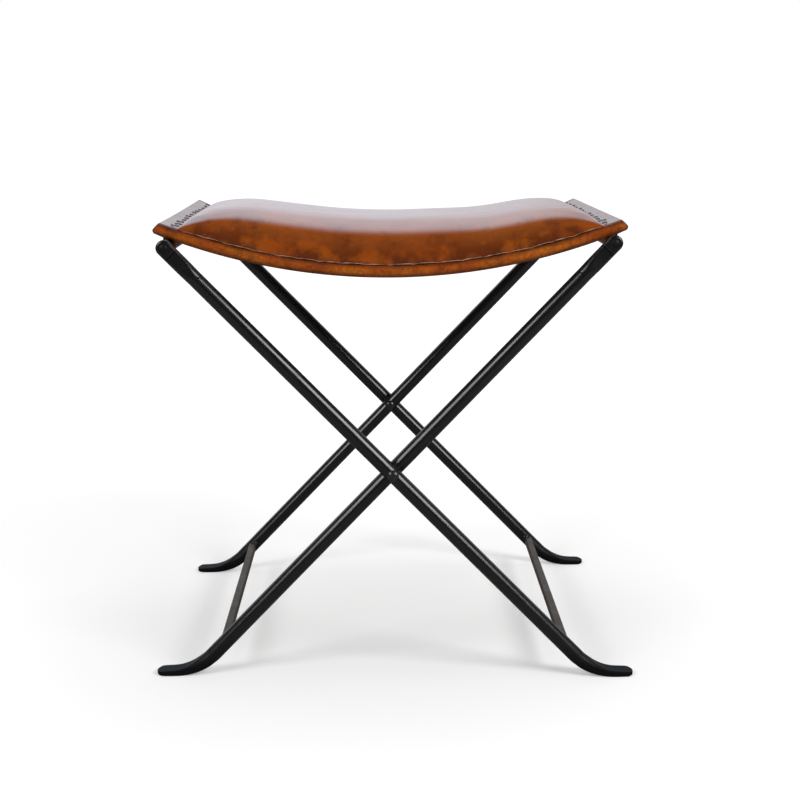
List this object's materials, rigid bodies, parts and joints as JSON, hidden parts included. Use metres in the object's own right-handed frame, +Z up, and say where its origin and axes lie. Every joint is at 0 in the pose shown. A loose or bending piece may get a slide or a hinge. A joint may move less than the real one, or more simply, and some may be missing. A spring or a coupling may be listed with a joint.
{
  "type": "folding stool",
  "caption": "Folding X-frame stool in black iron bar with a padded leather sling seat; the frames scissor shut about rivets and the seat folds down between the legs.",
  "frame": {"origin": "on the floor, under the middle of the stool's box", "axes": "+Z up, +X from the outer frame's rail to the inner frame's rail, -Y is the front"},
  "size_m": [0.5148, 0.4304, 0.4993],
  "materials": {
    "black_iron": "satin",
    "pivot_steel": "satin",
    "seat_leather": "gloss",
    "edge_leather": "gloss",
    "base_leather": "satin",
    "sleeve_leather": "satin",
    "seat_foam": "matte"
  },
  "bodies": {
    "outer_frame": {"outer_leg_front": "black_iron", "outer_leg_back": "black_iron", "outer_rail": "black_iron", "outer_rail_rivets": "black_iron", "outer_stretcher": "black_iron", "pivot_rivet_front": "black_iron", "pivot_rivet_back": "black_iron", "pivot_washers": "pivot_steel"},
    "inner_frame": {"inner_leg_front": "black_iron", "inner_leg_back": "black_iron", "inner_rail": "black_iron", "inner_rail_rivets": "black_iron", "inner_stretcher": "black_iron"},
    "seat_left": {"seat_cover_left": "seat_leather", "seat_foam_left": "seat_foam", "seat_base_panel_left": "base_leather", "front_edge_band_left": "edge_leather", "back_edge_band_left": "edge_leather", "rail_sleeve_left": "sleeve_leather"},
    "seat_right": {"seat_cover_right": "seat_leather", "seat_foam_right": "seat_foam", "seat_base_panel_right": "base_leather", "front_edge_band_right": "edge_leather", "back_edge_band_right": "edge_leather", "rail_sleeve_right": "sleeve_leather"}
  },
  "joints": [
    {"name": "frame_fold", "type": "hinge", "parent": "outer_frame", "child": "inner_frame", "pos_m": [0, 0, 0.2235], "axis": [0, -1, 0], "range_deg": [0, 72.2], "deforming": ["seat_cover_right", "seat_foam_right", "seat_base_panel_right", "front_edge_band_right", "back_edge_band_right", "rail_sleeve_right"]},
    {"name": "seat_swing", "type": "hinge", "parent": "outer_frame", "child": "seat_left", "pos_m": [-0.23175, 0, 0.463], "axis": [0, -1, 0], "range_deg": [-48, 0]},
    {"name": "seat_crease", "type": "hinge", "parent": "seat_left", "child": "seat_right", "pos_m": [0, 0, 0.48535], "axis": [0, -1, 0], "range_deg": [0, 168.3]}
  ],
  "couplings": [
    {"joint": "seat_swing", "follows": "frame_fold", "ratio": -0.66425},
    {"joint": "seat_crease", "follows": "frame_fold", "ratio": 2.3285}
  ]
}
